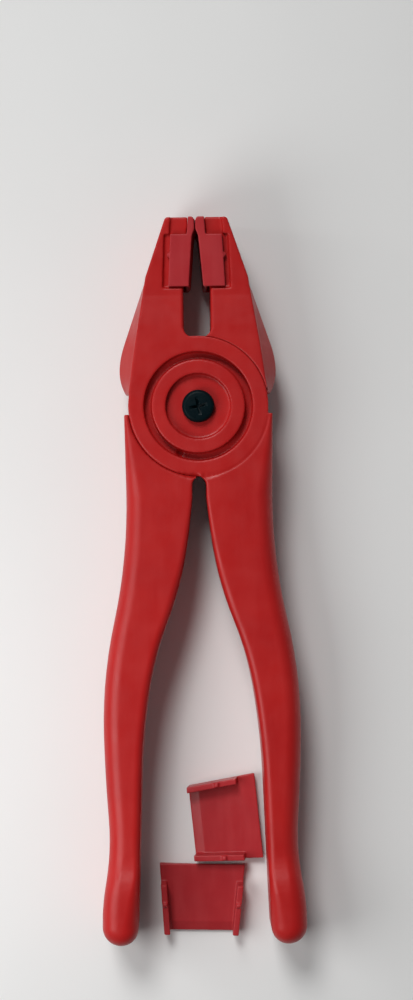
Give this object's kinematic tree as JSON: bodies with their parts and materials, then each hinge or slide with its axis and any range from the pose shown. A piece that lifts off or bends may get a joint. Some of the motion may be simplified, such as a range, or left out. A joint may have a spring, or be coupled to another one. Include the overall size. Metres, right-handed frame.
{
  "type": "running pliers",
  "caption": "Moulded plastic running pliers with a lapped screw pivot, removable jaw pads and loose spare pads.",
  "frame": {"origin": "on the pivot's axis, in the plane of the hub's back face", "axes": "+Y from the pivot to the jaws' tips, +Z through the thickness towards the screw's head, +X towards the front lever's handle"},
  "size_m": [0.0572, 0.203, 0.0244],
  "materials": {
    "body_plastic": "fine-textured moulded red plastic",
    "pad_plastic": "smooth moulded pinkish red plastic",
    "black_steel": "black oxide steel",
    "nylon": "natural nylon"
  },
  "bodies": {
    "back_half": {"back_lever": "body_plastic", "back_lever_pad": "pad_plastic", "pivot_screw": "black_steel", "lock_nut": "black_steel", "lock_nut_insert": "nylon"},
    "front_half": {"front_lever": "body_plastic", "front_lever_pad": "pad_plastic"},
    "loose_convex_pad": {"spare_pad_convex": "pad_plastic"},
    "loose_concave_pad": {"spare_pad_concave": "pad_plastic"}
  },
  "joints": [
    {"name": "pivot_hinge", "type": "hinge", "parent": "back_half", "child": "front_half", "pos_m": [0, 0, 0], "axis": [0, 0, 1], "range_deg": [-0.25, 15.8]},
    {"name": "convex_pad_lift", "type": "slide", "parent": "back_half", "child": "loose_convex_pad", "axis": [0, 0, 1], "range_m": [0, 0.04]},
    {"name": "concave_pad_lift", "type": "slide", "parent": "back_half", "child": "loose_concave_pad", "axis": [0, 0, 1], "range_m": [0, 0.04]}
  ]
}
